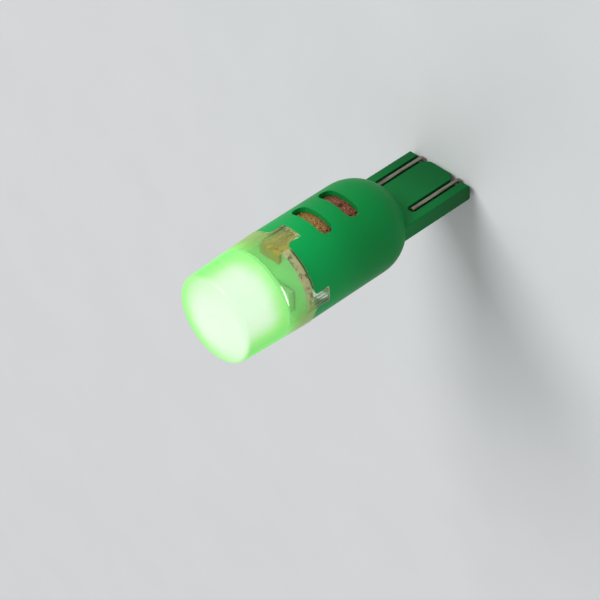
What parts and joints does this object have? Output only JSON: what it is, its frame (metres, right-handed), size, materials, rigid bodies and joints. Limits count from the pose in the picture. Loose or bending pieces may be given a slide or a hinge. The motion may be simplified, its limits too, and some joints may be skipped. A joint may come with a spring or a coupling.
{
  "type": "wedge led bulb",
  "caption": "Wedge-base LED bulb: green moulded barrel with vent slots and a flat blade that carries the contact wires, under a clear cap with a glowing diffused front.",
  "frame": {"origin": "centre of the blade's end, at the face that stops in the holder", "axes": "+Z along the bulb's axis towards the lens, +X across the blade's width, +Y through its thickness away from the face that carries the contact wires"},
  "size_m": [0.012, 0.012, 0.0367],
  "materials": {
    "green_moulding": "satin moulded plastic",
    "clear_lens": "clear plastic with a diffusing front",
    "board_laminate": "glass and resin laminate",
    "white_housing": "white moulded plastic",
    "led_resin": "clear resin",
    "brown_laminate": "brown laminate",
    "gold_plating": "gold plating",
    "copper_alloy": "rough copper alloy",
    "solder": "solder",
    "black_epoxy": "moulded epoxy",
    "tinned_metal": "tin plating",
    "resistor_glaze": "glazed film",
    "capacitor_ceramic": "bare ceramic",
    "wire_metal": "tinned copper wire"
  },
  "bodies": {
    "root": {"base_shell": "green_moulding", "diffuser_lens": "clear_lens", "led_board": "board_laminate", "led_housing_1": "white_housing", "led_housing_2": "white_housing", "led_resin_1": "led_resin", "led_resin_2": "led_resin", "led_terminals_1": "tinned_metal", "led_terminals_2": "tinned_metal", "driver_board": "brown_laminate", "edge_plating": "gold_plating", "heat_spreader": "copper_alloy", "tongue_solder": "solder", "rectifier_body": "black_epoxy", "rectifier_leads": "tinned_metal", "resistor_1": "resistor_glaze", "resistor_2": "resistor_glaze", "resistor_caps_1": "tinned_metal", "resistor_caps_2": "tinned_metal", "capacitor_body": "capacitor_ceramic", "capacitor_caps": "tinned_metal", "contact_wire_1": "wire_metal", "contact_wire_2": "wire_metal", "wire_solder_1": "solder", "wire_solder_2": "solder"}
  },
  "joints": []
}
